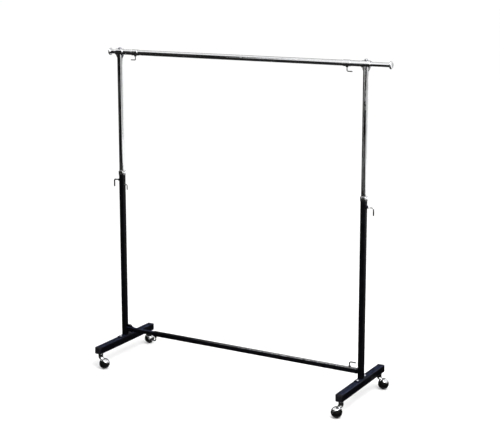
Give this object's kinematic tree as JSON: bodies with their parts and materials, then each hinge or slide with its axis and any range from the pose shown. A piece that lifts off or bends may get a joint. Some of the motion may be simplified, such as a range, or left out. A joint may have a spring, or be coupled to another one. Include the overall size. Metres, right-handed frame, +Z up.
{
  "type": "rolling garment rack",
  "caption": "Rolling garment rack with one rail, telescoping square posts, pull-out rail ends, a lower crossbar and swivel ball casters.",
  "frame": {"origin": "on the floor, at the middle of the object's box", "axes": "+X along the rail to the right, -Y the front, +Z up"},
  "size_m": [1.503, 0.5171, 1.578],
  "materials": {
    "black_coat": "semi-gloss black powder coat",
    "chrome": "bright chrome plate",
    "black_plastic": "satin moulded plastic",
    "black_rubber": "matt moulded rubber",
    "zinc_steel": "bright zinc plate"
  },
  "bodies": {
    "base": {"left_foot": "black_coat", "right_foot": "black_coat", "left_foot_front_cap": "black_plastic", "left_foot_rear_cap": "black_plastic", "right_foot_front_cap": "black_plastic", "right_foot_rear_cap": "black_plastic", "left_post": "black_coat", "right_post": "black_coat", "left_post_flange": "black_coat", "right_post_flange": "black_coat", "left_front_flange_bolt": "zinc_steel", "left_rear_flange_bolt": "zinc_steel", "right_front_flange_bolt": "zinc_steel", "right_rear_flange_bolt": "zinc_steel", "left_post_collar": "chrome", "right_post_collar": "chrome", "left_post_boss": "black_coat", "right_post_boss": "black_coat", "left_crossbar_stub": "black_coat", "right_crossbar_stub": "black_coat", "left_crossbar_bracket": "black_coat", "crossbar": "black_coat", "front_left_stem": "zinc_steel", "front_right_stem": "zinc_steel", "rear_left_stem": "zinc_steel", "rear_right_stem": "zinc_steel"},
    "upper_frame": {"left_upright": "chrome", "right_upright": "chrome", "left_guide_bush": "black_plastic", "right_guide_bush": "black_plastic", "left_tee": "chrome", "right_tee": "chrome", "left_tee_screw": "zinc_steel", "right_tee_screw": "zinc_steel", "rail": "chrome", "left_rail_sleeve": "chrome", "right_rail_sleeve": "chrome"},
    "left_rod": {"left_extension_rod": "chrome", "left_end_cap": "chrome", "left_rod_plug": "black_plastic"},
    "right_rod": {"right_extension_rod": "chrome", "right_end_cap": "chrome", "right_rod_plug": "black_plastic"},
    "left_post_screw": {"left_post_screw": "chrome"},
    "right_post_screw": {"right_post_screw": "chrome"},
    "left_side_screw": {"left_side_screw": "chrome"},
    "left_rail_screw": {"left_rail_screw": "chrome"},
    "right_rail_screw": {"right_rail_screw": "chrome"},
    "left_crossbar_screw": {"left_crossbar_screw": "chrome"},
    "right_crossbar_screw": {"right_crossbar_screw": "chrome"},
    "front_left_swivel": {"front_left_hood": "chrome"},
    "front_right_swivel": {"front_right_hood": "chrome"},
    "rear_left_swivel": {"rear_left_hood": "chrome"},
    "rear_right_swivel": {"rear_right_hood": "chrome"},
    "front_left_wheel": {"front_left_wheel": "black_rubber"},
    "front_right_wheel": {"front_right_wheel": "black_rubber"},
    "rear_left_wheel": {"rear_left_wheel": "black_rubber"},
    "rear_right_wheel": {"rear_right_wheel": "black_rubber"}
  },
  "joints": [
    {"name": "height_slide", "type": "slide", "parent": "base", "child": "upper_frame", "axis": [0, 0, 1], "range_m": [-0.5, 0.1]},
    {"name": "left_rod_slide", "type": "slide", "parent": "upper_frame", "child": "left_rod", "axis": [-1, 0, 0], "range_m": [-0.028, 0.25]},
    {"name": "right_rod_slide", "type": "slide", "parent": "upper_frame", "child": "right_rod", "axis": [1, 0, 0], "range_m": [-0.091, 0.19]},
    {"name": "left_post_screw_turn", "type": "hinge", "parent": "base", "child": "left_post_screw", "pos_m": [-0.703, 0, 0.916], "axis": [-1, 0, 0], "range_deg": [0, 540]},
    {"name": "right_post_screw_turn", "type": "hinge", "parent": "base", "child": "right_post_screw", "pos_m": [0.64, 0, 0.916], "axis": [1, 0, 0], "range_deg": [0, 540]},
    {"name": "left_side_screw_turn", "type": "hinge", "parent": "base", "child": "left_side_screw", "pos_m": [-0.6803, 0, 0.894], "axis": [1, 0, 0], "range_deg": [0, 540]},
    {"name": "left_rail_screw_turn", "type": "hinge", "parent": "upper_frame", "child": "left_rail_screw", "pos_m": [-0.5995, 0, 1.5432], "axis": [0, 0, -1], "range_deg": [0, 540]},
    {"name": "right_rail_screw_turn", "type": "hinge", "parent": "upper_frame", "child": "right_rail_screw", "pos_m": [0.5365, 0, 1.5432], "axis": [0, 0, -1], "range_deg": [0, 540]},
    {"name": "left_crossbar_screw_turn", "type": "hinge", "parent": "base", "child": "left_crossbar_screw", "pos_m": [-0.5035, 0, 0.13525], "axis": [0, 0, -1], "range_deg": [0, 540]},
    {"name": "right_crossbar_screw_turn", "type": "hinge", "parent": "base", "child": "right_crossbar_screw", "pos_m": [0.5705, 0, 0.15475], "axis": [0, 0, 1], "range_deg": [0, 540]},
    {"name": "front_left_swivel_turn", "type": "hinge", "parent": "base", "child": "front_left_swivel", "pos_m": [-0.6915, -0.21, 0.06], "axis": [0, 0, 1], "continuous": true},
    {"name": "front_right_swivel_turn", "type": "hinge", "parent": "base", "child": "front_right_swivel", "pos_m": [0.6285, -0.21, 0.06], "axis": [0, 0, 1], "continuous": true},
    {"name": "rear_left_swivel_turn", "type": "hinge", "parent": "base", "child": "rear_left_swivel", "pos_m": [-0.6915, 0.21, 0.06], "axis": [0, 0, 1], "continuous": true},
    {"name": "rear_right_swivel_turn", "type": "hinge", "parent": "base", "child": "rear_right_swivel", "pos_m": [0.6285, 0.21, 0.06], "axis": [0, 0, 1], "continuous": true},
    {"name": "front_left_wheel_turn", "type": "hinge", "parent": "front_left_swivel", "child": "front_left_wheel", "pos_m": [-0.66688, -0.21434, 0.026], "axis": [-0.1184, -0.6716, -0.7314], "continuous": true},
    {"name": "front_right_wheel_turn", "type": "hinge", "parent": "front_right_swivel", "child": "front_right_wheel", "pos_m": [0.61794, -0.23266, 0.026], "axis": [0.6181, -0.2882, -0.7314], "continuous": true},
    {"name": "rear_left_wheel_turn", "type": "hinge", "parent": "rear_left_swivel", "child": "rear_left_wheel", "pos_m": [-0.70207, 0.23266, 0.026], "axis": [-0.6181, -0.2882, -0.7314], "continuous": true},
    {"name": "rear_right_wheel_turn", "type": "hinge", "parent": "rear_right_swivel", "child": "rear_right_wheel", "pos_m": [0.65312, 0.20566, 0.026], "axis": [-0.1184, -0.6716, -0.7314], "continuous": true}
  ]
}
